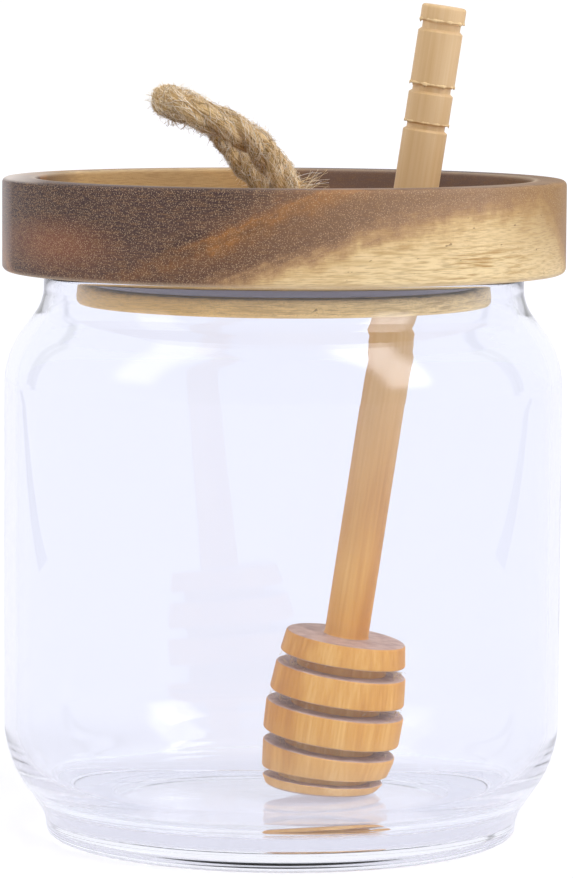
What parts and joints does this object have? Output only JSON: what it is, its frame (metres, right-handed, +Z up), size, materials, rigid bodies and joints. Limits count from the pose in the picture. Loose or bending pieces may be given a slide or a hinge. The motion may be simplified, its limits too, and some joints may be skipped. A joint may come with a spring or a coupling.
{
  "type": "glass honey jar with dipper",
  "caption": "Straight-sided clear glass jar with a turned wooden tray lid, silicone seal, rope pull and a ribbed wooden honey dipper that stands through the lid.",
  "frame": {"origin": "middle of the jar's base, on the surface it stands on", "axes": "+Z up along the jar's axis, +X to the right seen from the front, towards the side that the dipper leans to, front at -Y"},
  "size_m": [0.106, 0.106, 0.1569],
  "materials": {
    "clear_glass": "clear, polished",
    "acacia": "sanded, lightly oiled",
    "silicone": "translucent, satin",
    "beech": "turned, unvarnished",
    "jute": "twisted fibre, matt"
  },
  "bodies": {
    "root": {"glass_jar": "clear_glass", "wood_lid": "acacia", "silicone_seal": "silicone", "dipper": "beech", "rope_loop": "jute"}
  },
  "joints": []
}
